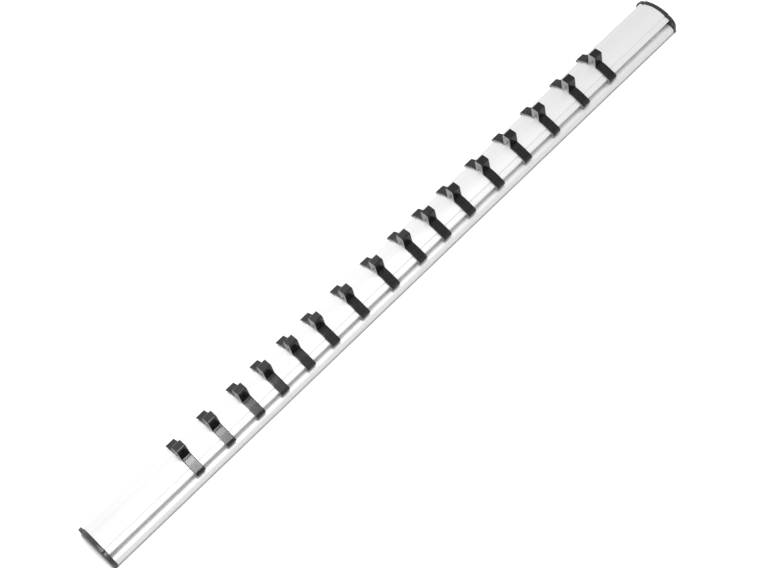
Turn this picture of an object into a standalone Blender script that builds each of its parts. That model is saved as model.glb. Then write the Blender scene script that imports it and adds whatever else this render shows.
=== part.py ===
"""Socket rail for quarter-inch sockets: a hollow rail, two end caps and sixteen sliding spring clips.

X runs along the rail, Z is up and the rail stands on Z = 0. Sizes are in metres, angles in degrees.
"""
import math

import bmesh
import bpy
from mathutils import Vector

# Overall
OVERALL_LENGTH = 0.470
DECK_HEIGHT = 0.0135

# Rail section
CROWN_RADIUS = 0.0182
FLANK_ANGLE = 25.0
LIP_HALF_WIDTH = 0.0116
LIP_RADIUS = 0.0009
LIP_TILT = 10.0
LEDGE_WIDTH = 0.0034
STEP_DEPTH = 0.0007
SKIRT_OVERHANG = 0.0034
SHOULDER_RADIUS_SHARE = 0.515
BASE_CHAMFER = 0.0004
RAIL_WALL_SHARE = 0.104

# Socket clip, a bent strip
STRIP_THICKNESS = 0.0008
STRIP_WIDTH = 0.0062
STRIP_TIP_NARROWING = 0.0014
POST_WIDTH = 0.0056
POST_HEIGHT = 0.0088
POST_CORNER_RADIUS = 0.0011
POST_FOOT_RADIUS = 0.0005
HOOK_INNER_RADIUS = 0.0015
HOOK_STAND_OFF = 0.0015
HOOK_WRAP_ANGLE = 135.0
TIP_NARROWING_ANGLE = 45.0

# Clearances between pieces
STRIP_CLEARANCE = 0.0003
GROOVE_FLOOR_CLEARANCE = 0.0011
GROOVE_ROOT_CLEARANCE = 0.0005
CAP_SEAT_CLEARANCE = 0.0003
PLUG_CLEARANCE = 0.0003

# End cap
CAP_THICKNESS = 0.0022
CAP_CROWN_RADIUS = 0.022
CAP_TOP_PROUD = 0.0004
CAP_SIDE_PROUD = 0.0002
CAP_NOTCH_SHIFT = 0.0006
CAP_NOTCH_WIDTH = 0.0007
CAP_NOTCH_DEPTH = 0.0004
CAP_SHOULDER_DROP = 0.0024
CAP_SHOULDER_RADIUS = 0.0068
CAP_EDGE_RADIUS = 0.0004
PLUG_LENGTH = 0.012
PLUG_LEAD_IN = 0.0005
PLUG_WALL = 0.0015
PLUG_FLOOR = 0.002
CUT_OVERRUN = 0.001

# Places of the clips along the rail, near end to far end, as shares of the overall length
CLIP_PLACE_SHARES = (
    -0.3559, -0.3069, -0.2588, -0.2189, -0.1751, -0.1333, -0.0825, -0.0300,
    0.0185, 0.0624, 0.1073, 0.1604, 0.2118, 0.2659, 0.3235, 0.3759,
)

# Facets of the curved parts
CROWN_STEPS = 10
LIP_STEPS = 8
SHOULDER_STEPS = 6
CORNER_STEPS = 4
FOOT_STEPS = 3
BAND_STEPS = 5
HOOK_STEPS = 12
CAP_SHOULDER_STEPS = 10
CAP_EDGE_STEPS = 2
SMOOTH_ANGLE = 30.0


def polar(centre, radius, degrees):
    """Point at an angle on a circle in the section, measured from the +Y side towards +Z."""
    turn = math.radians(degrees)
    return (centre[0] + radius * math.cos(turn), centre[1] + radius * math.sin(turn))


def arc(centre, radius, start, end, steps):
    """Points along an arc, both ends included."""
    return [polar(centre, radius, start + (end - start) * i / steps) for i in range(steps + 1)]


def height_on_circle(centre, radius, y):
    """Upper height of a circle above a place across the rail."""
    return centre[1] + math.sqrt(radius ** 2 - y ** 2)


def closed_outline(right_half):
    """Whole outline from its right half, which runs from the top of the centre line to the bottom."""
    inner = [point for point in right_half if point[0] > 0]
    left_half = [(-y, z) for y, z in reversed(inner)]
    return right_half + left_half


# The strip leaves the crown on the tangent at the flank angle, and the lip touches the same tangent
FLANK_NORMAL = 90.0 - FLANK_ANGLE
FLANK_ACROSS = math.sin(math.radians(FLANK_ANGLE))
FLANK_UP = math.cos(math.radians(FLANK_ANGLE))
CROWN_CENTRE = (0.0, DECK_HEIGHT - CROWN_RADIUS)


def centre_under_flank(y, radius, clearance):
    """Centre of a circle that touches the flank line, raised by a clearance, from below."""
    reach = CROWN_RADIUS + clearance + CROWN_CENTRE[1] * FLANK_UP
    return (y, (reach - radius - y * FLANK_ACROSS) / FLANK_UP)


LIP_CENTRE = centre_under_flank(LIP_HALF_WIDTH - LIP_RADIUS, LIP_RADIUS, 0.0)
LIP_UNDERSIDE = LIP_CENTRE[1] - LIP_RADIUS
CROWN_HALF_WIDTH = LIP_HALF_WIDTH - LEDGE_WIDTH
SKIRT_HALF_WIDTH = LIP_HALF_WIDTH + SKIRT_OVERHANG

# Hook of the clip, and the tongue that rises behind it to the underside of the lip
HOOK_RADIUS = HOOK_INNER_RADIUS + STRIP_THICKNESS
HOOK_CENTRE = centre_under_flank(
    LIP_HALF_WIDTH + HOOK_STAND_OFF - HOOK_INNER_RADIUS, HOOK_RADIUS, STRIP_CLEARANCE + STRIP_THICKNESS
)
TONGUE_START = polar(HOOK_CENTRE, HOOK_RADIUS, -HOOK_WRAP_ANGLE)
TONGUE_INNER_START = polar(HOOK_CENTRE, HOOK_INNER_RADIUS, -HOOK_WRAP_ANGLE)
TONGUE_DIRECTION = (-math.sin(math.radians(HOOK_WRAP_ANGLE)), -math.cos(math.radians(HOOK_WRAP_ANGLE)))
TONGUE_LENGTH = (LIP_UNDERSIDE - STRIP_CLEARANCE - TONGUE_INNER_START[1]) / TONGUE_DIRECTION[1]
TONGUE_END = tuple(s + TONGUE_LENGTH * d for s, d in zip(TONGUE_START, TONGUE_DIRECTION))

# The groove leaves room for the hook
GROOVE_ROOT = TONGUE_END[0] - GROOVE_ROOT_CLEARANCE
SHOULDER_HEIGHT = HOOK_CENTRE[1] - HOOK_RADIUS - GROOVE_FLOOR_CLEARANCE
SHOULDER_RADIUS = SHOULDER_RADIUS_SHARE * SHOULDER_HEIGHT
SHOULDER_CENTRE = (SKIRT_HALF_WIDTH - SHOULDER_RADIUS, SHOULDER_HEIGHT - SHOULDER_RADIUS)
RAIL_WALL = RAIL_WALL_SHARE * DECK_HEIGHT

# Lengths along the rail
RAIL_LENGTH = OVERALL_LENGTH - 2 * (CAP_THICKNESS + CAP_SEAT_CLEARANCE)


def rail_half():
    """Right half of the outside of the extrusion."""
    crown_edge = height_on_circle(CROWN_CENTRE, CROWN_RADIUS, CROWN_HALF_WIDTH)
    crown_end = 90.0 - math.degrees(math.asin(CROWN_HALF_WIDTH / CROWN_RADIUS))
    points = arc(CROWN_CENTRE, CROWN_RADIUS, 90.0, crown_end, CROWN_STEPS)
    points.append((CROWN_HALF_WIDTH, crown_edge - STEP_DEPTH))
    points += arc(LIP_CENTRE, LIP_RADIUS, 90.0 - LIP_TILT, -90.0, LIP_STEPS)
    points.append((GROOVE_ROOT, LIP_UNDERSIDE))
    points.append((GROOVE_ROOT, SHOULDER_HEIGHT))
    points += arc(SHOULDER_CENTRE, SHOULDER_RADIUS, 90.0, 0.0, SHOULDER_STEPS)
    points.append((SKIRT_HALF_WIDTH, BASE_CHAMFER))
    points.append((SKIRT_HALF_WIDTH - BASE_CHAMFER, 0.0))
    points.append((0.0, 0.0))
    return points


def web_half(inset):
    """Right half of the space between the rail's two webs, drawn in by an inset, without its floor."""
    side = GROOVE_ROOT - RAIL_WALL - inset
    roof_radius = CROWN_RADIUS - RAIL_WALL - inset
    roof_end = 90.0 - math.degrees(math.asin(side / roof_radius))
    return side, arc(CROWN_CENTRE, roof_radius, 90.0, roof_end, CROWN_STEPS)


def hollow_half():
    """Right half of the hollow in the rail, which widens into the skirt."""
    side, points = web_half(0.0)
    points.append((side, SHOULDER_HEIGHT - RAIL_WALL))
    points += arc(SHOULDER_CENTRE, SHOULDER_RADIUS - RAIL_WALL, 90.0, 0.0, SHOULDER_STEPS)
    points.append((SKIRT_HALF_WIDTH - RAIL_WALL, RAIL_WALL))
    points.append((0.0, RAIL_WALL))
    return points


def plug_half(inset):
    """Right half of a cap's plug between the webs, drawn in by an inset."""
    side, points = web_half(inset)
    points.append((side, RAIL_WALL + inset))
    points.append((0.0, RAIL_WALL + inset))
    return points


def cap_half():
    """Right half of an end cap's outline, with the notch that stands at the deck's step."""
    crown_centre = (0.0, DECK_HEIGHT + CAP_TOP_PROUD - CAP_CROWN_RADIUS)
    notch = CROWN_HALF_WIDTH + CAP_NOTCH_SHIFT
    notch_height = height_on_circle(crown_centre, CAP_CROWN_RADIUS, notch)
    crown_end = 90.0 - math.degrees(math.asin(notch / CAP_CROWN_RADIUS))
    points = arc(crown_centre, CAP_CROWN_RADIUS, 90.0, crown_end, CROWN_STEPS)
    points.append((notch + CAP_NOTCH_WIDTH / 2, notch_height - CAP_NOTCH_DEPTH))
    side = SKIRT_HALF_WIDTH + CAP_SIDE_PROUD
    shoulder_top = DECK_HEIGHT - CAP_SHOULDER_DROP
    shoulder_centre = (side - CAP_SHOULDER_RADIUS, shoulder_top - CAP_SHOULDER_RADIUS)
    across_share = max(0.0, notch + CAP_NOTCH_WIDTH - shoulder_centre[0]) / CAP_SHOULDER_RADIUS
    shoulder_start = math.degrees(math.acos(across_share))
    points += arc(shoulder_centre, CAP_SHOULDER_RADIUS, shoulder_start, 0.0, CAP_SHOULDER_STEPS)
    points.append((side, BASE_CHAMFER))
    points.append((side - BASE_CHAMFER, 0.0))
    points.append((0.0, 0.0))
    return points


def tip_narrowing(degrees):
    """How much narrower the strip is at an angle round the hook."""
    share = min(1.0, max(0.0, -degrees / TIP_NARROWING_ANGLE))
    return STRIP_TIP_NARROWING * (1 - math.cos(math.pi * share)) / 2


def clip_half():
    """Right half of the clip's outer face, as stations of place, height and strip width."""
    band_radius = CROWN_RADIUS + STRIP_CLEARANCE + STRIP_THICKNESS
    band_top = DECK_HEIGHT + STRIP_CLEARANCE + STRIP_THICKNESS
    post_side = POST_WIDTH / 2
    corner = (post_side - POST_CORNER_RADIUS, band_top + POST_HEIGHT - POST_CORNER_RADIUS)
    section = arc(corner, POST_CORNER_RADIUS, 90.0, 0.0, CORNER_STEPS)
    foot_y = post_side + POST_FOOT_RADIUS
    lean = math.degrees(math.asin(foot_y / (band_radius + POST_FOOT_RADIUS)))
    foot = (foot_y, height_on_circle(CROWN_CENTRE, band_radius + POST_FOOT_RADIUS, foot_y))
    section += arc(foot, POST_FOOT_RADIUS, 180.0, 270.0 - lean, FOOT_STEPS)
    band = arc(CROWN_CENTRE, band_radius, 90.0 - lean, FLANK_NORMAL, BAND_STEPS)
    section += band[1:]
    stations = [(y, z, STRIP_WIDTH) for y, z in section]
    for i in range(HOOK_STEPS + 1):
        degrees = FLANK_NORMAL - (FLANK_NORMAL + HOOK_WRAP_ANGLE) * i / HOOK_STEPS
        y, z = polar(HOOK_CENTRE, HOOK_RADIUS, degrees)
        stations.append((y, z, STRIP_WIDTH - tip_narrowing(degrees)))
    stations.append((*TONGUE_END, STRIP_WIDTH - STRIP_TIP_NARROWING))
    return stations


def make_material(name, colour, roughness, metallic):
    """Principled material with one colour."""
    material = bpy.data.materials.new(name)
    material.use_nodes = True
    shader = material.node_tree.nodes["Principled BSDF"]
    shader.inputs["Base Color"].default_value = colour
    shader.inputs["Roughness"].default_value = roughness
    shader.inputs["Metallic"].default_value = metallic
    return material


def add_object(name, mesh, material):
    """Object in the scene with its material."""
    mesh.materials.append(material)
    thing = bpy.data.objects.new(name, mesh)
    bpy.context.scene.collection.objects.link(thing)
    return thing


def shade(mesh):
    """Smooth shading that keeps the sharp edges."""
    mesh.shade_smooth()
    mesh.set_sharp_from_angle(angle=math.radians(SMOOTH_ANGLE))


def prism(name, right_half, low, high, edge_radius=0.0):
    """Solid with one outline, drawn from a low to a high place on X; its high rim can be rounded."""
    shape = bmesh.new()
    corners = [shape.verts.new((low, y, z)) for y, z in closed_outline(right_half)]
    base = shape.faces.new(corners)
    grown = bmesh.ops.extrude_face_region(shape, geom=[base])["geom"]
    moved = [item for item in grown if isinstance(item, bmesh.types.BMVert)]
    bmesh.ops.translate(shape, verts=moved, vec=Vector((high - low, 0.0, 0.0)))
    if edge_radius > 0:
        end_face = next(item for item in grown if isinstance(item, bmesh.types.BMFace))
        bmesh.ops.bevel(
            shape, geom=list(end_face.edges), offset=edge_radius, segments=CAP_EDGE_STEPS,
            profile=0.5, affect="EDGES", clamp_overlap=True,
        )
    bmesh.ops.recalc_face_normals(shape, faces=shape.faces)
    mesh = bpy.data.meshes.new(name)
    shape.to_mesh(mesh)
    shape.free()
    return mesh


def add_cutter(name, mesh, parent, operation):
    """Hidden solid that a Boolean adds to its parent or takes from it."""
    tool = bpy.data.objects.new(name, mesh)
    bpy.context.scene.collection.objects.link(tool)
    tool.parent = parent
    tool.hide_render = True
    tool.display_type = "WIRE"
    boolean = parent.modifiers.new(name, "BOOLEAN")
    boolean.operation = operation
    boolean.object = tool
    return tool


def make_rail(material):
    """The extrusion, hollow from end to end."""
    half = RAIL_LENGTH / 2
    rail = add_object("rail", prism("rail", rail_half(), -half, half), material)
    reach = half + CUT_OVERRUN
    add_cutter("rail_hollow_cutter", prism("rail_hollow", hollow_half(), -reach, reach), rail, "DIFFERENCE")
    shade(rail.data)
    return rail


def make_plug_mesh():
    """Plug behind a cap's flange, which narrows at its end; it points to -X."""
    stations = (
        (0.0, PLUG_CLEARANCE),
        (PLUG_LEAD_IN - PLUG_LENGTH, PLUG_CLEARANCE),
        (-PLUG_LENGTH, PLUG_CLEARANCE + PLUG_LEAD_IN),
    )
    shape = bmesh.new()
    rings = []
    for x, inset in stations:
        outline = closed_outline(plug_half(inset))
        rings.append([shape.verts.new((x, y, z)) for y, z in outline])
    for ring, following in zip(rings, rings[1:]):
        for i in range(len(ring)):
            j = (i + 1) % len(ring)
            shape.faces.new((ring[i], ring[j], following[j], following[i]))
    shape.faces.new(rings[0])
    shape.faces.new(rings[-1])
    bmesh.ops.recalc_face_normals(shape, faces=shape.faces)
    mesh = bpy.data.meshes.new("plug")
    shape.to_mesh(mesh)
    shape.free()
    return mesh


def make_cap(name, side, material):
    """End cap: a flange as wide as the rail and a hollow plug; side is +1 at the far end, -1 at the near."""
    cap = add_object(name, prism(name, cap_half(), 0.0, CAP_THICKNESS, CAP_EDGE_RADIUS), material)
    add_cutter(name + "_plug_tool", make_plug_mesh(), cap, "UNION")
    pocket_outline = plug_half(PLUG_CLEARANCE + PLUG_WALL)
    pocket = prism(name + "_pocket", pocket_outline, -PLUG_LENGTH - CUT_OVERRUN, -PLUG_FLOOR)
    add_cutter(name + "_pocket_tool", pocket, cap, "DIFFERENCE")
    cap.location.x = side * (OVERALL_LENGTH / 2 - CAP_THICKNESS)
    if side < 0:
        cap.rotation_euler.z = math.pi
    shade(cap.data)
    return cap


def make_clip_mesh(material):
    """Face of the bent strip, from the tip of one hook to the tip of the other."""
    right = clip_half()
    left = [(-y, z, width) for y, z, width in reversed(right)]
    stations = left + right
    shape = bmesh.new()
    rows = []
    for y, z, width in stations:
        rows.append([shape.verts.new((side * width / 2, y, z)) for side in (-1, 1)])
    for row, following in zip(rows, rows[1:]):
        shape.faces.new((row[0], row[1], following[1], following[0]))
    mesh = bpy.data.meshes.new("socket_clip")
    shape.to_mesh(mesh)
    shape.free()
    mesh.materials.append(material)
    shade(mesh)
    return mesh


def make_clips(rail, material):
    """One clip at each place along the rail, each on its own origin so that it can slide."""
    mesh = make_clip_mesh(material)
    for number, share in enumerate(CLIP_PLACE_SHARES, start=1):
        clip = bpy.data.objects.new(f"socket_clip_{number:02d}", mesh)
        bpy.context.scene.collection.objects.link(clip)
        clip.parent = rail
        clip.location.x = share * OVERALL_LENGTH
        thickness = clip.modifiers.new("strip", "SOLIDIFY")
        thickness.thickness = STRIP_THICKNESS
        thickness.offset = -1.0
        thickness.use_even_offset = True


def main():
    """Clear the scene and build the socket rail."""
    for thing in list(bpy.data.objects):
        bpy.data.objects.remove(thing, do_unlink=True)
    aluminium = make_material("rail_aluminium", (0.80, 0.81, 0.82, 1.0), 0.30, 1.0)
    plastic = make_material("cap_plastic", (0.025, 0.025, 0.027, 1.0), 0.35, 0.0)
    steel = make_material("clip_blackened_steel", (0.035, 0.035, 0.038, 1.0), 0.32, 0.6)
    rail = make_rail(aluminium)
    make_cap("end_cap_near", -1, plastic)
    make_cap("end_cap_far", 1, plastic)
    make_clips(rail, steel)


main()
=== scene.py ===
"""Dressed model of a socket rail: a hollow aluminium rail, two plastic end caps and sixteen sliding clips.

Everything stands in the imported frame, in metres: X runs from the near end of the rail to its far end, +Y
points away from the camera's side, Z is up and the rail rests on Z = 0. Sections are drawn as pairs of Y
and Z.
"""
import logging
import math
from dataclasses import dataclass, field
from enum import Enum
from typing import Iterable, Mapping, Sequence, Union

import bmesh
import bpy
from mathutils import Matrix, Vector


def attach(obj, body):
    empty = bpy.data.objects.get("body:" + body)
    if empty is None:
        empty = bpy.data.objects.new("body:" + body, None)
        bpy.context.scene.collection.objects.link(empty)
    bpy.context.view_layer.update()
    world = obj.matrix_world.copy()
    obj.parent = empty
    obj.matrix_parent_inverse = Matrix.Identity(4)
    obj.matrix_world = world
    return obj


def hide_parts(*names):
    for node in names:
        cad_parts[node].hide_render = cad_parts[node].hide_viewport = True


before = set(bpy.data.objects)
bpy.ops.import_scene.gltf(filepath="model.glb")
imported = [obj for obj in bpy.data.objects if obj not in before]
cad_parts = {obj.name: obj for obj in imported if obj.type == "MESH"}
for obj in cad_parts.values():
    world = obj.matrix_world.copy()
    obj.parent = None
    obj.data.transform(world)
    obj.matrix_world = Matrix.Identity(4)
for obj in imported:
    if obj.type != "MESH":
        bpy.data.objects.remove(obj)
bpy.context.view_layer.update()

log = logging.getLogger("socket_rail")

Point = tuple[float, float]
Span = tuple[float, float]
Colour = tuple[float, float, float, float]
Loop = list[bmesh.types.BMVert]

WEAR = "wear"
BARE = "bare"
SHARP_ANGLE = 32.0
FLATS_WEIGHT = 50
CENTRE_LINE = 1e-9


class End(Enum):
    """The two ends of the rail, as the direction in which each cap faces."""

    NEAR = -1
    FAR = 1


# Shader maths


class Signal:
    """Output socket of a node, used in sums like a number."""

    def __init__(self, graph: "Graph", socket: bpy.types.NodeSocket) -> None:
        """Wrap one output socket of a graph."""
        self.graph = graph
        self.socket = socket

    def joined(self, operation: str, first: "Operand", second: "Operand") -> "Signal":
        """Add a Math node that joins two values.

        Args:
            operation: Name of the Math node's operation.
            first: First value or signal.
            second: Second value or signal.

        Returns:
            The Math node's result.
        """
        return self.graph.node("ShaderNodeMath", {"operation": operation}, {0: first, 1: second})

    def __add__(self, other: "Operand") -> "Signal":
        """Sum of this signal and a value."""
        return self.joined("ADD", self, other)

    def __radd__(self, other: "Operand") -> "Signal":
        """Sum of a value and this signal."""
        return self.joined("ADD", other, self)

    def __sub__(self, other: "Operand") -> "Signal":
        """This signal less a value."""
        return self.joined("SUBTRACT", self, other)

    def __rsub__(self, other: "Operand") -> "Signal":
        """A value less this signal."""
        return self.joined("SUBTRACT", other, self)

    def __mul__(self, other: "Operand") -> "Signal":
        """Product of this signal and a value."""
        return self.joined("MULTIPLY", self, other)

    def __rmul__(self, other: "Operand") -> "Signal":
        """Product of a value and this signal."""
        return self.joined("MULTIPLY", other, self)

    def between(self, low: float, high: float) -> "Signal":
        """Smooth step of this signal: 0 below the low value and 1 above the high one."""
        sockets = {"Value": self, "From Min": low, "From Max": high, "To Min": 0.0, "To Max": 1.0}
        return self.graph.node("ShaderNodeMapRange", {"interpolation_type": "SMOOTHSTEP"}, sockets)


Operand = Union[Signal, float]
Socketable = Union[Signal, float, Sequence[float]]


def mingled(shares: Sequence[float], signals: Sequence[Signal]) -> Signal:
    """Sum of signals, each multiplied by its share.

    Args:
        shares: The shares.
        signals: One signal for each share.

    Returns:
        The sum.
    """
    total = shares[0] * signals[0]
    for share, signal in zip(shares[1:], signals[1:]):
        total = total + share * signal
    return total


def swung(base: float, swings: Sequence[float], signals: Sequence[Signal]) -> Signal:
    """Value swung about its base by signals from 0 to 1.

    Args:
        base: The value where all signals are at their middle.
        swings: How far each signal moves it, from its least to its most.
        signals: One signal for each swing.

    Returns:
        The swung value.
    """
    return base + mingled(swings, [signal - 0.5 for signal in signals])


class Graph:
    """Node tree of one material, with a Principled shader at its end."""

    def __init__(self, name: str) -> None:
        """Make a material with an empty tree.

        Args:
            name: Name of the material.
        """
        self.material = bpy.data.materials.new(name)
        self.material.use_nodes = True
        self.tree = self.material.node_tree
        self.tree.nodes.clear()
        self.output = self.tree.nodes.new("ShaderNodeOutputMaterial")
        self.shader = self.tree.nodes.new("ShaderNodeBsdfPrincipled")
        self.tree.links.new(self.shader.outputs["BSDF"], self.output.inputs["Surface"])

    def feed(self, node: bpy.types.Node, sockets: Mapping[Union[str, int], Socketable]) -> None:
        """Set or link the input sockets of a node.

        Args:
            node: Node whose sockets are set.
            sockets: Value or signal for each socket, by its name or place.
        """
        for key, value in sockets.items():
            if isinstance(value, Signal):
                self.tree.links.new(value.socket, node.inputs[key])
            else:
                node.inputs[key].default_value = value

    def node(
        self,
        kind: str,
        settings: Mapping[str, object],
        sockets: Mapping[Union[str, int], Socketable],
        output: Union[str, int] = 0,
    ) -> Signal:
        """Add a node: its settings first, then its sockets.

        Args:
            kind: Type of the node.
            settings: Properties of the node.
            sockets: Value or signal for each input socket, by its name or place.
            output: Name or place of the output that is wanted.

        Returns:
            The wanted output of the new node.
        """
        node = self.tree.nodes.new(kind)
        for name, value in settings.items():
            setattr(node, name, value)
        self.feed(node, sockets)
        return Signal(self, node.outputs[output])

    def place(self) -> Signal:
        """Place on the piece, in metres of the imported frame."""
        return self.node("ShaderNodeTexCoord", {}, {}, "Object")

    def painted(self, name: str) -> Signal:
        """Value that the mesh carries under a name."""
        return self.node("ShaderNodeAttribute", {"attribute_name": name}, {}, "Fac")

    def noise(self, vector: Signal, size: float, detail: float = 2.0, roughness: float = 0.5) -> Signal:
        """Noise from 0 to 1.

        Args:
            vector: Place at which the noise is read.
            size: Size of its lumps.
            detail: Number of finer layers.
            roughness: Strength of the finer layers.

        Returns:
            The noise value.
        """
        sockets = {"Vector": vector, "Scale": 1.0 / size, "Detail": detail, "Roughness": roughness}
        return self.node("ShaderNodeTexNoise", {}, sockets, "Fac")

    def streaks(self, place: Signal, sizes: Sequence[float], detail: float) -> Signal:
        """Noise from 0 to 1, drawn out along one way.

        Args:
            place: Place on the piece.
            sizes: Size of its lumps along X, Y and Z.
            detail: Number of finer layers.

        Returns:
            The noise value.
        """
        scale = [1.0 / size for size in sizes]
        stretched = self.node("ShaderNodeVectorMath", {"operation": "MULTIPLY"}, {0: place, 1: scale})
        return self.noise(stretched, 1.0, detail)

    def mixed(self, factor: Operand, first: Socketable, second: Socketable) -> Signal:
        """Mix of two colours.

        Args:
            factor: Share of the second colour.
            first: First colour.
            second: Second colour.

        Returns:
            The mixed colour.
        """
        return self.node("ShaderNodeMix", {"data_type": "RGBA"}, {0: factor, 6: first, 7: second}, 2)

    def bump(self, height: Signal, strength: float, distance: float) -> Signal:
        """Normal of a surface raised by a height signal.

        Args:
            height: Height from 0 to 1.
            strength: Strength of the effect.
            distance: Real height of a signal of 1, in metres.

        Returns:
            The bent normal.
        """
        sockets = {"Strength": strength, "Distance": distance, "Height": height}
        return self.node("ShaderNodeBump", {}, sockets, "Normal")

    def finish(self, sockets: Mapping[str, Socketable]) -> bpy.types.Material:
        """Feed the shader and hand over the material.

        Args:
            sockets: Value or signal for the shader's sockets.

        Returns:
            The finished material.
        """
        self.feed(self.shader, sockets)
        return self.material


# Finishes


@dataclass(frozen=True)
class SatinAluminium:
    """Satin anodised extrusion: fine die lines along the rail, a soft grain and faint handling marks.

    Shares and swings are given for the lines, the wider bands or smudges, and the grain.
    """

    name: str = "satin_aluminium"
    bright: Colour = (0.768, 0.768, 0.764, 1.0)
    dull: Colour = (0.700, 0.700, 0.697, 1.0)
    tone_shares: tuple[float, float, float] = (0.45, 0.40, 0.15)
    tone_span: Span = (0.3, 0.7)
    line_pitch: float = 0.00045
    line_length: float = 0.9
    band_pitch: float = 0.0021
    grain_size: float = 0.00014
    smudge_size: float = 0.03
    metallic: float = 0.55
    roughness: float = 0.50
    roughness_swings: tuple[float, float, float] = (0.10, 0.14, 0.06)
    relief: float = 0.00001
    relief_strength: float = 0.5
    relief_shares: tuple[float, float] = (0.7, 0.3)

    def material(self) -> bpy.types.Material:
        """Make the rail's material.

        Returns:
            The material.
        """
        graph = Graph(self.name)
        place = graph.place()
        lines = graph.streaks(place, (self.line_length, self.line_pitch, self.line_pitch), detail=3.0)
        bands = graph.streaks(place, (self.line_length, self.band_pitch, self.band_pitch), detail=2.0)
        grain = graph.noise(place, self.grain_size, detail=1.0)
        smudge = graph.noise(place, self.smudge_size, detail=4.0, roughness=0.6)
        tone = mingled(self.tone_shares, (lines, bands, grain)).between(*self.tone_span)
        height = mingled(self.relief_shares, (lines, grain))
        return graph.finish({
            "Base Color": graph.mixed(tone, self.dull, self.bright),
            "Roughness": swung(self.roughness, self.roughness_swings, (lines, smudge, grain)),
            "Metallic": self.metallic,
            "Normal": graph.bump(height, self.relief_strength, self.relief),
        })


@dataclass(frozen=True)
class MouldedPlastic:
    """Black moulded plastic with a fine spark-eroded texture and paler, rubbed rims.

    Shares and swings are given for the soft clouds and the fine sparks.
    """

    name: str = "moulded_black_plastic"
    black: Colour = (0.018, 0.018, 0.020, 1.0)
    rubbed: Colour = (0.050, 0.050, 0.054, 1.0)
    spark_size: float = 0.00022
    cloud_size: float = 0.006
    cloud_threshold: float = 0.4
    cloud_strength: float = 0.25
    wear_shares: tuple[float, float] = (0.5, 0.5)
    wear_span: Span = (0.42, 0.62)
    wear_strength: float = 0.7
    wear_polish: float = 0.08
    roughness: float = 0.30
    roughness_swings: tuple[float, float] = (0.12, 0.10)
    relief: float = 0.00002
    relief_strength: float = 0.5

    def material(self) -> bpy.types.Material:
        """Make the caps' material.

        Returns:
            The material.
        """
        graph = Graph(self.name)
        place = graph.place()
        sparks = graph.noise(place, self.spark_size, detail=3.0, roughness=0.6)
        cloud = graph.noise(place, self.cloud_size, detail=3.0, roughness=0.6)
        worn = graph.painted(WEAR) * mingled(self.wear_shares, (cloud, sparks)).between(*self.wear_span)
        paler = worn * self.wear_strength + self.cloud_strength * (cloud - self.cloud_threshold)
        roughness = swung(self.roughness, self.roughness_swings, (cloud, sparks)) - self.wear_polish * worn
        return graph.finish({
            "Base Color": graph.mixed(paler, self.black, self.rubbed),
            "Roughness": roughness,
            "Metallic": 0.0,
            "Normal": graph.bump(sparks, self.relief_strength, self.relief),
        })


@dataclass(frozen=True)
class BlackenedSteel:
    """Spring strip blackened on its outer face and bare on its sheared edges and its inner face.

    The mesh says how bare it is: 0 on the outer face, 0.7 on the sheared edges and 1 on the inner face.
    """

    name: str = "blackened_spring_steel"
    black: Colour = (0.004, 0.004, 0.004, 1.0)
    brown: Colour = (0.009, 0.008, 0.007, 1.0)
    rubbed: Colour = (0.20, 0.20, 0.205, 1.0)
    bare: Colour = (0.74, 0.74, 0.75, 1.0)
    sheared: Colour = (0.40, 0.40, 0.41, 1.0)
    uncoated_span: Span = (0.3, 0.4)
    inner_span: Span = (0.7, 1.0)
    inner_tone: Span = (0.8, 0.4)
    mottle_size: float = 0.0016
    mottle_span: Span = (0.3, 0.7)
    pit_size: float = 0.00012
    scratch_pitch: float = 0.00018
    scratch_length: float = 0.006
    wear_shares: tuple[float, float] = (0.6, 0.4)
    wear_span: Span = (0.42, 0.60)
    wear_strength: float = 0.2
    wear_metallic: float = 0.3
    bare_metallic: float = 0.4
    roughness: float = 0.18
    roughness_swings: tuple[float, float, float] = (0.05, 0.03, 0.04)
    bare_roughness: float = 0.25
    shine: float = 0.35
    relief: float = 0.0000015
    relief_strength: float = 0.4
    relief_shares: tuple[float, float] = (0.6, 0.4)

    def material(self) -> bpy.types.Material:
        """Make the clips' material.

        Returns:
            The material.
        """
        graph = Graph(self.name)
        place = graph.place()
        mottle = graph.noise(place, self.mottle_size, detail=4.0, roughness=0.6)
        pits = graph.noise(place, self.pit_size, detail=2.0, roughness=0.6)
        scratches = graph.streaks(place, (self.scratch_pitch, self.scratch_length, self.scratch_length), 2.0)
        bareness = graph.painted(BARE)
        uncoated = bareness.between(*self.uncoated_span)
        inner = bareness.between(*self.inner_span) * (self.inner_tone[0] + self.inner_tone[1] * mottle)
        worn = graph.painted(WEAR) * mingled(self.wear_shares, (mottle, scratches)).between(*self.wear_span)
        oxide = graph.mixed(mottle.between(*self.mottle_span), self.black, self.brown)
        coated = graph.mixed(worn * self.wear_strength, oxide, self.rubbed)
        steel = graph.mixed(inner, self.sheared, self.bare)
        roughness = swung(self.roughness, self.roughness_swings, (mottle, pits, scratches))
        height = mingled(self.relief_shares, (pits, scratches))
        return graph.finish({
            "Base Color": graph.mixed(uncoated, coated, steel),
            "Roughness": roughness + self.bare_roughness * uncoated,
            "Metallic": self.wear_metallic * worn * (1 - uncoated) + self.bare_metallic * uncoated,
            "Specular IOR Level": self.shine,
            "Normal": graph.bump(height, self.relief_strength, self.relief),
        })


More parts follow.
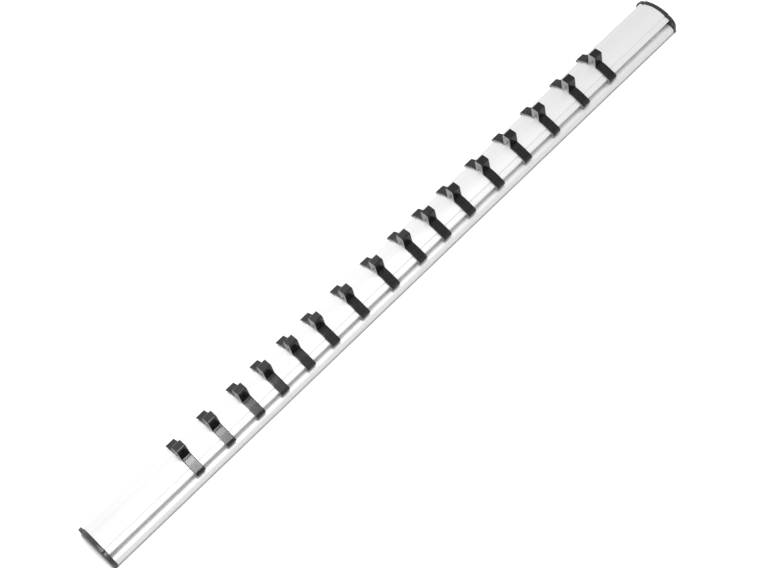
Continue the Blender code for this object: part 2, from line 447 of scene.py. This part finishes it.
@dataclass(frozen=True)
class StudioPaper:
    """Plain white paper under the rail that glows evenly to the camera, with painted contact shade: an
    ambient occlusion mask paints a thin dark line round the rail's foot into its colour and its glow.
    """

    name: str = "studio_paper"
    white: Colour = (0.88, 0.88, 0.88, 1.0)
    shade: Colour = (0.84, 0.84, 0.84, 1.0)
    dark: Colour = (0.0, 0.0, 0.0, 1.0)
    lit: Colour = (1.0, 1.0, 1.0, 1.0)
    fibre_size: float = 0.0012
    roughness: float = 0.85
    # Painted shade: this dark grey is painted into the paper's colour where the ambient occlusion mask finds
    # the rail's foot close by.
    painted_contact_shade: Colour = (0.20, 0.20, 0.20, 1.0)
    painted_shade_reach: float = 0.0016
    painted_shade_samples: int = 12
    open_span: Span = (0.45, 0.95)
    glow: float = 0.3
    relief: float = 0.00005
    relief_strength: float = 0.2

    def material(self) -> bpy.types.Material:
        """Make the floor's material.

        Returns:
            The material.
        """
        graph = Graph(self.name)
        fibres = graph.noise(graph.place(), self.fibre_size, detail=3.0, roughness=0.6)
        seen_straight = graph.node("ShaderNodeLightPath", {}, {}, "Is Camera Ray")
        settings = {"samples": self.painted_shade_samples}
        # Painted contact shade: ambient occlusion darkens the paper's colour and dims its glow in a thin line
        # round the rail's foot.
        clear_sky = graph.node("ShaderNodeAmbientOcclusion", settings, {"Distance": self.painted_shade_reach}, "AO")
        openness = clear_sky.between(*self.open_span)
        return graph.finish({
            "Base Color": graph.mixed(openness, self.painted_contact_shade, graph.mixed(fibres, self.shade, self.white)),
            "Roughness": self.roughness,
            "Emission Color": graph.mixed(seen_straight * openness, self.dark, self.lit),
            "Emission Strength": self.glow,
            "Normal": graph.bump(fibres, self.relief_strength, self.relief),
        })


# Drawing of sections


def polar(centre: Point, radius: float, degrees: float) -> Point:
    """Point at an angle on a circle in the section, measured from +Y towards +Z."""
    turn = math.radians(degrees)
    return (centre[0] + radius * math.cos(turn), centre[1] + radius * math.sin(turn))


def arc(centre: Point, radius: float, start: float, end: float, steps: int) -> list[Point]:
    """Points along an arc, both ends included."""
    return [polar(centre, radius, start + (end - start) * i / steps) for i in range(steps + 1)]


def height_on_circle(centre: Point, radius: float, across: float) -> float:
    """Upper height of a circle above a place across the rail."""
    return centre[1] + math.sqrt(radius ** 2 - across ** 2)


def rounded_corner(before: Point, corner: Point, after: Point, radius: float, steps: int) -> list[Point]:
    """Arc in place of a corner of an outline.

    Args:
        before: Point before the corner.
        corner: The corner.
        after: Point after the corner.
        radius: Radius of the arc.
        steps: Number of its facets.

    Returns:
        The points of the arc, from the side of the first point to the side of the last.
    """
    here = Vector(corner)
    back = (Vector(before) - here).normalized()
    ahead = (Vector(after) - here).normalized()
    half = back.angle(ahead) / 2
    centre = here + (back + ahead).normalized() * radius / math.sin(half)
    tangent = radius / math.tan(half)
    first = here + back * tangent - centre
    last = here + ahead * tangent - centre
    spokes = [first.lerp(last, i / steps).normalized() * radius for i in range(steps + 1)]
    return [tuple(centre + spoke) for spoke in spokes]


def eased(points: Sequence[tuple[Point, float]], steps: int = 4) -> list[Point]:
    """Open run of points with its corners rounded.

    Args:
        points: Each point and the radius of its corner, 0 where it stays as it is.
        steps: Number of facets of a rounded corner.

    Returns:
        The points of the run.
    """
    run: list[Point] = []
    for i, (point, radius) in enumerate(points):
        if radius > 0 and 0 < i < len(points) - 1:
            run += rounded_corner(points[i - 1][0], point, points[i + 1][0], radius, steps)
        else:
            run.append(point)
    return run


def whole(right_half: Sequence[Point]) -> list[Point]:
    """Closed outline from its right half, which runs from the top of the centre line to the bottom."""
    left_half = [(-y, z) for y, z in reversed(right_half) if y > CENTRE_LINE]
    return list(right_half) + left_half


def inset(outline: Sequence[Point], depths: Sequence[float]) -> list[Point]:
    """Closed outline drawn inwards.

    Args:
        outline: Points of the outline, clockwise as seen from the far end.
        depths: How far each point moves.

    Returns:
        The moved points.
    """
    moved = []
    count = len(outline)
    for i, (y, z) in enumerate(outline):
        before = outline[i - 1]
        after = outline[(i + 1) % count]
        along = Vector((after[0] - before[0], after[1] - before[1])).normalized()
        moved.append((y + along[1] * depths[i], z - along[0] * depths[i]))
    return moved


def smooth_share(value: float) -> float:
    """Smooth step of a number from 0 to 1."""
    share = min(1.0, max(0.0, value))
    return share * share * (3 - 2 * share)


# Meshes


class Skin:
    """Mesh in the making, built from closed loops of points at places along the rail."""

    def __init__(self) -> None:
        """Start with nothing."""
        self.shape = bmesh.new()
        self.wear = self.shape.verts.layers.float.new(WEAR)
        self.bare = self.shape.verts.layers.float.new(BARE)

    def loop(self, x: float, outline: Iterable[Point], wear: float = 0.0) -> Loop:
        """Add a loop of points across the rail.

        Args:
            x: Place along the rail.
            outline: Points of the loop.
            wear: How rubbed the loop is, from 0 to 1.

        Returns:
            The new points.
        """
        corners = [self.shape.verts.new((x, y, z)) for y, z in outline]
        for corner in corners:
            corner[self.wear] = wear
        return corners

    def wall(self, first: Loop, second: Loop) -> None:
        """Join two loops that have the same number of points."""
        count = len(first)
        for i in range(count):
            j = (i + 1) % count
            self.shape.faces.new((first[i], first[j], second[j], second[i]))

    def cover(self, *loops: Loop) -> None:
        """Fill the flat face that lies inside the first loop and outside the others."""
        edges = []
        for loop in loops:
            for first, second in zip(loop, loop[1:] + loop[:1]):
                edges.append(self.shape.edges.get((first, second)) or self.shape.edges.new((first, second)))
        bmesh.ops.triangle_fill(self.shape, use_beauty=True, use_dissolve=False, edges=edges)

    def mesh(self, name: str, flip: bool = False, sharp: float = SHARP_ANGLE) -> bpy.types.Mesh:
        """Finish the mesh with smooth shading that keeps its sharp edges.

        Args:
            name: Name of the mesh.
            flip: True to turn the piece round to face the other way along the rail.
            sharp: Angle in degrees above which an edge stays sharp.

        Returns:
            The mesh.
        """
        if flip:
            bmesh.ops.rotate(self.shape, verts=self.shape.verts, matrix=Matrix.Rotation(math.pi, 3, "Z"))
        bmesh.ops.recalc_face_normals(self.shape, faces=self.shape.faces)
        mesh = bpy.data.meshes.new(name)
        self.shape.to_mesh(mesh)
        self.shape.free()
        mesh.shade_smooth()
        mesh.set_sharp_from_angle(angle=math.radians(sharp))
        return mesh


def add_piece(name: str, mesh: bpy.types.Mesh, material: bpy.types.Material) -> bpy.types.Object:
    """Put a mesh in the scene with its material and even shading on its flats.

    Args:
        name: Name of the piece.
        mesh: Its mesh.
        material: Its material.

    Returns:
        The new object.
    """
    mesh.materials.append(material)
    piece = bpy.data.objects.new(name, mesh)
    bpy.context.scene.collection.objects.link(piece)
    flats = piece.modifiers.new("even_flats", "WEIGHTED_NORMAL")
    flats.keep_sharp = True
    flats.weight = FLATS_WEIGHT
    return piece


def take_over(piece: bpy.types.Object, node: str, body: str) -> None:
    """Let a piece stand for a CAD node.

    Args:
        piece: The piece.
        node: Node that it replaces.
        body: Body that it rides on.
    """
    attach(piece, body)
    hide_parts(node)
    log.info("%s: %d faces, rides on %s", piece.name, len(piece.data.polygons), body)


# Sub-assemblies


@dataclass(frozen=True)
class RailSection:
    """Sizes of the rail's section, which the caps and clips are fitted to."""

    deck_height: float = 0.0135
    crown_radius: float = 0.0182
    crown_half_width: float = 0.0082
    flank_angle: float = 25.0
    step_depth: float = 0.0007
    lip_centre: Point = (0.0107, 0.009399)
    lip_radius: float = 0.0009
    lip_tilt: float = 10.0
    groove_root: float = 0.008862
    shoulder_height: float = 0.005248
    shoulder_radius: float = 0.0027
    shoulder_reach: float = 0.0036
    skirt_half_width: float = 0.0150
    base_radius: float = 0.0005
    wall: float = 0.0014
    edge_radius: float = 0.00016
    root_radius: float = 0.0003

    @property
    def crown_centre(self) -> Point:
        """Centre of the deck's crown."""
        return (0.0, self.deck_height - self.crown_radius)

    @property
    def shoulder_centre(self) -> Point:
        """Centre of the rounded shoulder."""
        return (self.skirt_half_width - self.shoulder_radius, self.shoulder_height - self.shoulder_radius)

    @property
    def lip_underside(self) -> float:
        """Height of the lip's underside."""
        return self.lip_centre[1] - self.lip_radius


@dataclass
class RailExtrusion:
    """The hollow extrusion, drawn from its section."""

    section: RailSection
    length: float = 0.465
    crown_steps: int = 36
    lip_steps: int = 14
    shoulder_steps: int = 16
    mouth_break: float = 0.00012

    def outside(self) -> list[Point]:
        """Closed outline of the outside.

        Returns:
            The points of the outline.
        """
        size = self.section
        edge_z = height_on_circle(size.crown_centre, size.crown_radius, size.crown_half_width)
        crown_end = 90.0 - math.degrees(math.asin(size.crown_half_width / size.crown_radius))
        crown = arc(size.crown_centre, size.crown_radius, 90.0, crown_end, self.crown_steps)
        lip = arc(size.lip_centre, size.lip_radius, 90.0 - size.lip_tilt, -90.0, self.lip_steps)
        run = [(point, 0.0) for point in crown[:-1]]
        run.append((crown[-1], size.edge_radius))
        run.append(((size.crown_half_width, edge_z - size.step_depth), size.edge_radius))
        run += [(point, 0.0) for point in lip]
        run.append(((size.groove_root, size.lip_underside), size.root_radius))
        run.append(((size.groove_root, size.shoulder_height), size.root_radius))
        run += [(point, 0.0) for point in self.shoulder()]
        run.append(((size.skirt_half_width, 0.0), size.base_radius))
        run.append(((0.0, 0.0), 0.0))
        return whole(eased(run))

    def shoulder(self) -> list[Point]:
        """Rounded shoulder of the skirt, flatter at its top than at its side.

        Returns:
            The points of the shoulder, from its top to its side.
        """
        size = self.section
        low = size.shoulder_height - size.shoulder_radius
        quarter = arc((0.0, 0.0), 1.0, 90.0, 0.0, self.shoulder_steps)
        start = size.skirt_half_width - size.shoulder_reach
        return [(start + size.shoulder_reach * y, low + size.shoulder_radius * z) for y, z in quarter]

    def bore(self) -> list[Point]:
        """Closed outline of the hollow, which widens into the skirt.

        Returns:
            The points of the outline.
        """
        size = self.section
        side = size.groove_root - size.wall
        roof_radius = size.crown_radius - size.wall
        roof_end = 90.0 - math.degrees(math.asin(side / roof_radius))
        shoulder = arc(size.shoulder_centre, size.shoulder_radius - size.wall, 90.0, 0.0, self.shoulder_steps)
        roof = arc(size.crown_centre, roof_radius, 90.0, roof_end, self.crown_steps)
        run = [(point, 0.0) for point in roof[:-1]]
        run.append((roof[-1], size.root_radius))
        run.append(((side, size.shoulder_height - size.wall), size.root_radius))
        run += [(point, 0.0) for point in shoulder]
        run.append(((size.skirt_half_width - size.wall, size.wall), size.root_radius))
        run.append(((0.0, size.wall), 0.0))
        return whole(eased(run))

    def build(self) -> bpy.types.Mesh:
        """Make the mesh, with a light break on the sawn ends.

        Returns:
            The mesh.
        """
        outside = self.outside()
        bore = self.bore()
        half = self.length / 2
        skin = Skin()
        places = (-half, self.mouth_break - half, half - self.mouth_break, half)
        drawn_in = inset(outside, [self.mouth_break] * len(outside))
        rings = [skin.loop(x, drawn_in if abs(x) == half else outside) for x in places]
        for ring, following in zip(rings, rings[1:]):
            skin.wall(ring, following)
        inner = [skin.loop(x, bore) for x in (-half, half)]
        skin.wall(*inner)
        skin.cover(rings[0], inner[0])
        skin.cover(rings[-1], inner[1])
        return skin.mesh("rail_extrusion")

    def dress(self, finish: SatinAluminium) -> bpy.types.Object:
        """Build the rail and let it stand for its CAD node.

        Args:
            finish: Its finish.

        Returns:
            The rail.
        """
        rail = add_piece("rail_extrusion", self.build(), finish.material())
        take_over(rail, "rail", "rail_body")
        return rail


@dataclass
class EndCap:
    """Moulded cap: a flange a little wider than the rail, and a hollow plug that holds in the bore."""

    section: RailSection
    end: End
    overall_length: float = 0.470
    thickness: float = 0.0022
    crown_radius: float = 0.022
    top_proud: float = 0.0004
    side_proud: float = 0.0002
    notch_shift: float = 0.0006
    notch_width: float = 0.0007
    notch_depth: float = 0.0004
    notch_edge_radius: float = 0.00014
    notch_root_radius: float = 0.00012
    notch_reach: float = 4.0
    notch_rim_share: float = 0.25
    notch_face_share: float = 0.02
    shoulder_drop: float = 0.0024
    shoulder_radius: float = 0.0068
    base_corner_radius: float = 0.00055
    base_corner_share: float = 0.9
    seat_break: float = 0.0001
    seat_wear: float = 0.4
    edge_radius: float = 0.0004
    edge_wear: float = 1.0
    rim_width: float = 0.0013
    rim_steps: int = 5
    arc_steps: int = 24
    plug_roof_steps: int = 16
    plug_length: float = 0.012
    plug_lead_in: float = 0.0005
    plug_clearance: float = 0.0003
    plug_wall: float = 0.0015
    plug_floor: float = 0.002
    corner_radius: float = 0.0006

    @property
    def notch(self) -> float:
        """Place of the notch across the rail, where it leaves the crown."""
        return self.section.crown_half_width + self.notch_shift

    def outline(self) -> list[Point]:
        """Closed outline of the flange.

        Returns:
            The points of the outline.
        """
        size = self.section
        crown_centre = (0.0, size.deck_height + self.top_proud - self.crown_radius)
        notch_z = height_on_circle(crown_centre, self.crown_radius, self.notch)
        crown_end = 90.0 - math.degrees(math.asin(self.notch / self.crown_radius))
        side = size.skirt_half_width + self.side_proud
        shoulder_top = size.deck_height - self.shoulder_drop
        centre = (side - self.shoulder_radius, shoulder_top - self.shoulder_radius)
        start = math.degrees(math.acos((self.notch + self.notch_width - centre[0]) / self.shoulder_radius))
        crown = arc(crown_centre, self.crown_radius, 90.0, crown_end, self.arc_steps)
        shoulder = arc(centre, self.shoulder_radius, start, 0.0, self.arc_steps)
        notch_root = (self.notch + self.notch_width / 2, notch_z - self.notch_depth)
        run = [(point, 0.0) for point in crown[:-1]]
        run.append((crown[-1], self.notch_edge_radius))
        run.append((notch_root, self.notch_root_radius))
        run.append((shoulder[0], self.notch_edge_radius))
        run += [(point, 0.0) for point in shoulder[1:]]
        run.append(((side, 0.0), self.base_corner_radius))
        run.append(((0.0, 0.0), 0.0))
        return whole(eased(run))

    def rim_depths(self, outline: Sequence[Point], depth: float) -> list[float]:
        """How far each point of the rim is drawn in: less at the notches, and not past the base corners.

        Args:
            outline: Points of the flange.
            depth: How far the rim is drawn in elsewhere.

        Returns:
            One distance for each point.
        """
        turned = min(depth, self.edge_radius)
        reach = self.notch_reach * self.notch_width
        depths = []
        for y, z in outline:
            off_notch = abs(abs(y) - self.notch - self.notch_width / 2)
            clear = smooth_share(off_notch / reach) if z > self.section.lip_underside else 1.0
            drawn = turned * (self.notch_rim_share + (1 - self.notch_rim_share) * clear)
            drawn += (depth - turned) * (self.notch_face_share + (1 - self.notch_face_share) * clear)
            if z <= self.base_corner_radius and abs(y) > self.notch:
                drawn = min(drawn, self.base_corner_share * self.base_corner_radius)
            depths.append(drawn)
        return depths

    def web_space(self, clearance: float) -> list[Point]:
        """Closed outline of the space between the rail's webs, drawn in by a clearance.

        Args:
            clearance: How far it is drawn in.

        Returns:
            The points of the outline.
        """
        size = self.section
        side = size.groove_root - size.wall - clearance
        roof_radius = size.crown_radius - size.wall - clearance
        roof_end = 90.0 - math.degrees(math.asin(side / roof_radius))
        roof = arc(size.crown_centre, roof_radius, 90.0, roof_end, self.plug_roof_steps)
        run = [(point, 0.0) for point in roof[:-1]]
        run.append((roof[-1], self.corner_radius))
        run.append(((side, size.wall + clearance), self.corner_radius))
        run.append(((0.0, size.wall + clearance), 0.0))
        return whole(eased(run))

    def build(self) -> bpy.types.Mesh:
        """Make the mesh: flange with a rounded rim, plug and pocket in one skin.

        Returns:
            The mesh.
        """
        outline = self.outline()
        outer_face = self.overall_length / 2
        inner_face = outer_face - self.thickness
        skin = Skin()
        rings = [skin.loop(inner_face, inset(outline, self.rim_depths(outline, self.seat_break)))]
        rings.append(skin.loop(inner_face + self.seat_break, outline, self.seat_wear))
        for i in range(self.rim_steps + 1):
            turn = math.pi / 2 * i / self.rim_steps
            depths = self.rim_depths(outline, self.edge_radius * (1 - math.cos(turn)))
            x = outer_face - self.edge_radius * (1 - math.sin(turn))
            wear = self.edge_wear if 0 < i < self.rim_steps else self.seat_wear
            rings.append(skin.loop(x, inset(outline, depths), wear))
        rings.append(skin.loop(outer_face, inset(outline, self.rim_depths(outline, self.rim_width))))
        for ring, following in zip(rings, rings[1:]):
            skin.wall(ring, following)
        skin.cover(rings[-1])
        plug_end = inner_face - self.plug_length
        plug = [
            skin.loop(x, self.web_space(self.plug_clearance + drawn_in))
            for x, drawn_in in (
                (inner_face, 0.0),
                (plug_end + self.plug_lead_in, 0.0),
                (plug_end, self.plug_lead_in),
                (plug_end, self.plug_wall),
                (inner_face - self.plug_floor, self.plug_wall),
            )
        ]
        for ring, following in zip(plug, plug[1:]):
            skin.wall(ring, following)
        skin.cover(rings[0], plug[0])
        skin.cover(plug[-1])
        return skin.mesh(f"end_cap_{self.end.name.lower()}", self.end is End.NEAR)

    def dress(self, material: bpy.types.Material) -> bpy.types.Object:
        """Build the cap and let it stand for its CAD node.

        Args:
            material: Its material.

        Returns:
            The cap.
        """
        node = f"end_cap_{self.end.name.lower()}"
        cap = add_piece(f"moulded_{node}", self.build(), material)
        take_over(cap, node, "rail_body")
        return cap


@dataclass(frozen=True)
class Station:
    """Place on the clip's outer face, with the way it faces and how wide and rubbed the strip is there."""

    place: Vector
    normal: Vector
    width: float
    wear: float

    def mirrored(self) -> "Station":
        """The same station on the other side of the rail."""
        place = Vector((-self.place[0], self.place[1]))
        normal = Vector((-self.normal[0], self.normal[1]))
        return Station(place, normal, self.width, self.wear)


@dataclass
class SpringClip:
    """Bent strip that holds a socket: a hollow post on a band that hooks under both lips of the rail."""

    section: RailSection
    thickness: float = 0.0008
    width: float = 0.0062
    tip_narrowing: float = 0.0014
    tip_corner_radius: float = 0.0009
    narrowing_angle: float = 45.0
    post_width: float = 0.0056
    post_height: float = 0.0088
    post_corner_radius: float = 0.0011
    foot_radius: float = 0.0005
    clearance: float = 0.0003
    hook_centre: Point = (0.0116, 0.008648)
    hook_radius: float = 0.0023
    hook_wrap: float = 135.0
    tongue_length: float = 0.000864
    sheared_radius: float = 0.00010
    sheared_steps: int = 3
    sheared_bareness: float = 0.7
    coating_edge: float = 0.00006
    rubbed_margin: float = 0.0004
    edge_wear: float = 0.6
    corner_wear: float = 0.25
    side_wear: float = 0.1
    foot_wear: float = 0.2
    band_wear: float = 0.15
    knee_wear: float = 0.5
    knee_angle: float = 25.0
    knee_spread: float = 50.0
    tongue_wear: float = 0.3
    top_steps: int = 3
    corner_steps: int = 9
    side_steps: int = 5
    foot_steps: int = 6
    band_steps: int = 14
    hook_steps: int = 30
    tongue_steps: int = 8
    sharp_angle: float = 50.0

    def post(self) -> list[Station]:
        """Right half of the post, from the middle of its top down to its foot.

        Returns:
            The stations.
        """
        size = self.section
        side = self.post_width / 2
        top = size.deck_height + self.clearance + self.thickness + self.post_height
        corner = (side - self.post_corner_radius, top - self.post_corner_radius)
        run = [self.straight((corner[0] * i / self.top_steps, top), 90.0, 0.0) for i in range(self.top_steps)]
        run += self.bend(corner, self.post_corner_radius, 90.0, 0.0, self.corner_steps, self.corner_wear)
        foot_z = self.foot()[0][1]
        for i in range(1, self.side_steps):
            z = corner[1] + (foot_z - corner[1]) * i / self.side_steps
            run.append(self.straight((side, z), 0.0, self.side_wear))
        return run

    def foot(self) -> tuple[Point, float]:
        """Centre of the bend at the post's foot, and the angle from upright at which the band starts."""
        size = self.section
        reach = size.crown_radius + self.clearance + self.thickness + self.foot_radius
        across = self.post_width / 2 + self.foot_radius
        lean = math.degrees(math.asin(across / reach))
        return (across, height_on_circle(size.crown_centre, reach, across)), lean

    def band(self) -> list[Station]:
        """Right half of the band, from the post's foot over the deck to the start of the hook.

        Returns:
            The stations.
        """
        size = self.section
        centre, lean = self.foot()
        run = []
        for i in range(self.foot_steps + 1):
            degrees = 180.0 + (90.0 - lean) * i / self.foot_steps
            place = Vector(polar(centre, self.foot_radius, degrees))
            normal = Vector(polar((0.0, 0.0), -1.0, degrees))
            run.append(Station(place, normal, self.width, self.foot_wear))
        radius = size.crown_radius + self.clearance + self.thickness
        flank = 90.0 - size.flank_angle
        return run + self.bend(
            size.crown_centre, radius, 90.0 - lean, flank, self.band_steps, self.band_wear
        )[1:]

    def hook(self) -> list[Station]:
        """Right hook, down to the cut end of its tongue.

        Returns:
            The stations.
        """
        start = 90.0 - self.section.flank_angle
        run = []
        for i in range(self.hook_steps + 1):
            degrees = start - (start + self.hook_wrap) * i / self.hook_steps
            place = polar(self.hook_centre, self.hook_radius, degrees)
            narrowing = self.tip_narrowing * smooth_share(-degrees / self.narrowing_angle)
            off_knee = abs(degrees - self.knee_angle) / self.knee_spread
            run.append(self.station(place, degrees, self.knee_wear * smooth_share(1 - off_knee), narrowing))
        end = Vector(polar((0.0, 0.0), 1.0, -self.hook_wrap - 90.0))
        root = Vector(polar(self.hook_centre, self.hook_radius, -self.hook_wrap))
        for i in range(1, self.tongue_steps + 1):
            distance = self.tongue_length * i / self.tongue_steps
            bite = max(0.0, self.tip_corner_radius - (self.tongue_length - distance))
            rounding = self.tip_corner_radius - math.sqrt(self.tip_corner_radius ** 2 - bite ** 2)
            narrowing = self.tip_narrowing + 2 * rounding
            place = tuple(root + end * distance)
            run.append(self.station(place, -self.hook_wrap, self.tongue_wear, narrowing))
        return run

    def straight(self, place: Point, degrees: float, wear: float) -> Station:
        """Station on a straight stretch that faces an angle."""
        return self.station(place, degrees, wear, 0.0)

    def station(self, place: Point, degrees: float, wear: float, narrowing: float) -> Station:
        """Station that faces an angle, with the strip narrowed there."""
        return Station(Vector(place), Vector(polar((0.0, 0.0), 1.0, degrees)), self.width - narrowing, wear)

    def bend(
        self, centre: Point, radius: float, start: float, end: float, steps: int, wear: float
    ) -> list[Station]:
        """Stations round a bend whose centre is on the inner side of the strip.

        Args:
            centre: Centre of the bend.
            radius: Radius of the outer face.
            start: Angle at its start, in degrees.
            end: Angle at its end.
            steps: Number of its facets.
            wear: How rubbed it is.

        Returns:
            The stations, both ends included.
        """
        angles = [start + (end - start) * i / steps for i in range(steps + 1)]
        return [self.straight(polar(centre, radius, degrees), degrees, wear) for degrees in angles]

    def cut(self, station: Station) -> list[tuple[float, float, float, float]]:
        """Rounded rectangle of the strip at a station.

        Args:
            station: The station.

        Returns:
            Place along the rail, depth below the outer face, wear and bareness of each point of the loop.
        """
        half = station.width / 2
        soft = self.sheared_radius
        deep = self.thickness - soft
        edge_wear = max(self.edge_wear, station.wear)
        loop = []
        for x, depth, start in (
            (half - soft, soft, -90.0),
            (half - soft, deep, 0.0),
            (soft - half, deep, 90.0),
            (soft - half, soft, 180.0),
        ):
            flat_x = x - math.copysign(self.rubbed_margin, x)
            flat = (flat_x, 0.0, station.wear, 0.0) if depth == soft else (flat_x, self.thickness, 0.0, 1.0)
            rounding = [
                (along, down, edge_wear, self.sheared_bareness if down > self.coating_edge else 0.0)
                for along, down in arc((x, depth), soft, start, start + 90.0, self.sheared_steps)
            ]
            loop += [flat, *rounding] if start in (-90.0, 90.0) else [*rounding, flat]
        return loop

    def build(self, name: str, x: float) -> bpy.types.Mesh:
        """Sweep the strip from one tongue to the other.

        Args:
            name: Name of the mesh.
            x: Place of the clip along the rail.

        Returns:
            The mesh.
        """
        right = self.post() + self.band() + self.hook()
        left = [station.mirrored() for station in reversed(right[1:])]
        skin = Skin()
        rings = []
        for station in left + right:
            ring = []
            for along, depth, wear, bare in self.cut(station):
                place = station.place - station.normal * depth
                corner = skin.shape.verts.new((x + along, place[0], place[1]))
                corner[skin.wear] = wear
                corner[skin.bare] = bare
                ring.append(corner)
            rings.append(ring)
        for ring, following in zip(rings, rings[1:]):
            skin.wall(ring, following)
        skin.shape.faces.new(rings[0])
        skin.shape.faces.new(rings[-1])
        return skin.mesh(name, sharp=self.sharp_angle)


@dataclass
class ClipRow:
    """The sixteen clips in their places along the rail."""

    section: RailSection
    overall_length: float = 0.470
    place_shares: tuple[float, ...] = (
        -0.3559, -0.3069, -0.2588, -0.2189, -0.1751, -0.1333, -0.0825, -0.0300,
        0.0185, 0.0624, 0.1073, 0.1604, 0.2118, 0.2659, 0.3235, 0.3759,
    )

    def dress(self, material: bpy.types.Material) -> list[bpy.types.Object]:
        """Build every clip and let it stand for its CAD node.

        Args:
            material: Material of the clips.

        Returns:
            The clips.
        """
        clip = SpringClip(self.section)
        clips = []
        for number, share in enumerate(self.place_shares, start=1):
            name = f"spring_clip_{number:02d}"
            piece = add_piece(name, clip.build(name, share * self.overall_length), material)
            take_over(piece, f"socket_clip_{number:02d}", f"clip_{number:02d}")
            clips.append(piece)
        return clips


@dataclass
class SoftLight:
    """Rectangular light of the studio, aimed at a place near the rail."""

    name: str
    place: tuple[float, float, float]
    aim: tuple[float, float, float]
    size: tuple[float, float]
    power: float

    def hang(self) -> None:
        """Put the light in the scene."""
        lamp = bpy.data.lights.new(self.name, "AREA")
        lamp.shape = "RECTANGLE"
        lamp.size, lamp.size_y = self.size
        lamp.energy = self.power
        thing = bpy.data.objects.new(self.name, lamp)
        bpy.context.scene.collection.objects.link(thing)
        thing.location = self.place
        way = Vector(self.aim) - Vector(self.place)
        thing.rotation_euler = way.to_track_quat("-Z", "Y").to_euler()


@dataclass
class Studio:
    """White floor, soft lights and the camera at the photograph's angle."""

    floor_half_size: float = 6.0
    world_strength: float = 0.69
    camera_place: tuple[float, float, float] = (-0.255856, -0.409256, 0.718903)
    camera_right: tuple[float, float, float] = (0.69632, -0.69822, -0.16621)
    camera_up: tuple[float, float, float] = (0.66179, 0.53497, 0.52520)
    lens: float = 70.287
    sensor_width: float = 36.0
    clip_near: float = 0.01
    clip_far: float = 40.0
    lights: list[SoftLight] = field(default_factory=lambda: [
        SoftLight("overhead_light", (-0.045, -0.20, 1.2), (-0.045, 0.0, 0.0), (0.16, 0.54), 7.2),
        SoftLight("front_light", (0.1, -0.85, 0.85), (0.1, 0.0, 0.0), (1.4, 0.5), 1.3),
        SoftLight("back_light", (0.1, 1.3, 0.6), (0.1, 0.0, 0.0), (0.8, 0.6), 3.0),
        SoftLight("top_light", (0.1, 0.70, 1.2), (0.0, 0.0, 0.0), (0.8, 0.45), 1.7),
    ])

    def lay_floor(self) -> None:
        """Lay the white floor, just under the rail."""
        half = self.floor_half_size
        shape = bmesh.new()
        bmesh.ops.create_grid(shape, x_segments=2, y_segments=2, size=half)
        mesh = bpy.data.meshes.new("studio_floor")
        shape.to_mesh(mesh)
        shape.free()
        mesh.materials.append(StudioPaper().material())
        floor = bpy.data.objects.new("studio_floor", mesh)
        bpy.context.scene.collection.objects.link(floor)

    def fill(self) -> None:
        """Surround the scene with an even white."""
        world = bpy.data.worlds.new("studio_room")
        world.use_nodes = True
        background = world.node_tree.nodes["Background"]
        background.inputs["Color"].default_value = (1.0, 1.0, 1.0, 1.0)
        background.inputs["Strength"].default_value = self.world_strength
        bpy.context.scene.world = world
        bpy.context.scene.view_settings.view_transform = "Standard"

    def set_camera(self) -> None:
        """Stand the camera where the photograph was taken from."""
        lens = bpy.data.cameras.new("photo_camera")
        lens.lens = self.lens
        lens.sensor_width = self.sensor_width
        lens.clip_start = self.clip_near
        lens.clip_end = self.clip_far
        camera = bpy.data.objects.new("photo_camera", lens)
        bpy.context.scene.collection.objects.link(camera)
        right = Vector(self.camera_right).normalized()
        up = Vector(self.camera_up).normalized()
        turn = Matrix((right, up, right.cross(up))).transposed()
        camera.matrix_world = Matrix.Translation(self.camera_place) @ turn.to_4x4()
        bpy.context.scene.camera = camera

    def set_up(self) -> None:
        """Lay the floor, light the room and set the camera."""
        self.lay_floor()
        self.fill()
        for light in self.lights:
            light.hang()
        self.set_camera()
        log.info("studio: %d lights", len(self.lights))


def main() -> None:
    """Build the rail, its caps and clips, and set up the studio."""
    logging.basicConfig(level=logging.INFO, format="%(name)s: %(message)s")
    section = RailSection()
    RailExtrusion(section).dress(SatinAluminium())
    plastic = MouldedPlastic().material()
    for end in End:
        EndCap(section, end).dress(plastic)
    ClipRow(section).dress(BlackenedSteel().material())
    Studio().set_up()


if __name__ == "__main__":
    main()
